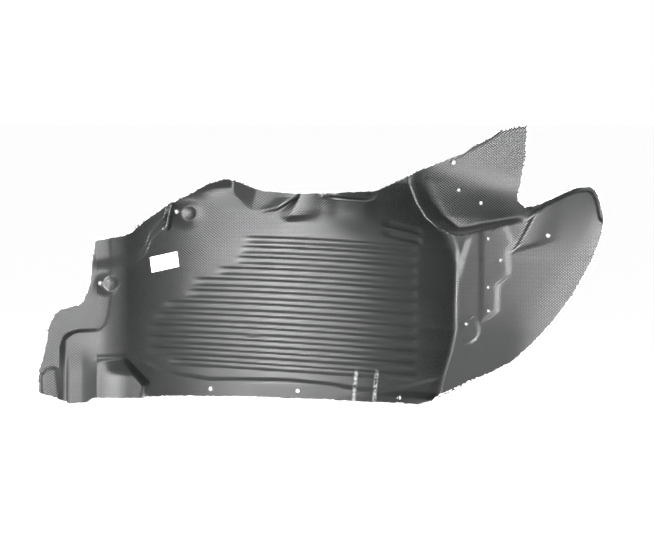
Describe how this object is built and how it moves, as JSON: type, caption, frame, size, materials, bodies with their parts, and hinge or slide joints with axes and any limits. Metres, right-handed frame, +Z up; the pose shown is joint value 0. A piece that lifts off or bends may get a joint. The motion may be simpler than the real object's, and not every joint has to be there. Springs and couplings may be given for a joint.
{
  "type": "wheel arch liner",
  "caption": "Black vacuum-formed wheel arch liner with a ribbed tunnel over the tyre, an outer screw flange, a folded front panel with fin and lobe, and a paper label.",
  "frame": {"origin": "on the surface it stands on, under the middle of its box", "axes": "+X along the car towards the front end with the lobe, +Y away from the wheel into the car body, +Z up from the outer lip it stands on towards the engine side"},
  "size_m": [1.0128, 0.2294, 0.505],
  "materials": {
    "black_sheet": "embossed, satin",
    "paper": "matt paper"
  },
  "bodies": {
    "root": {"liner": "black_sheet", "label": "paper"}
  },
  "joints": []
}
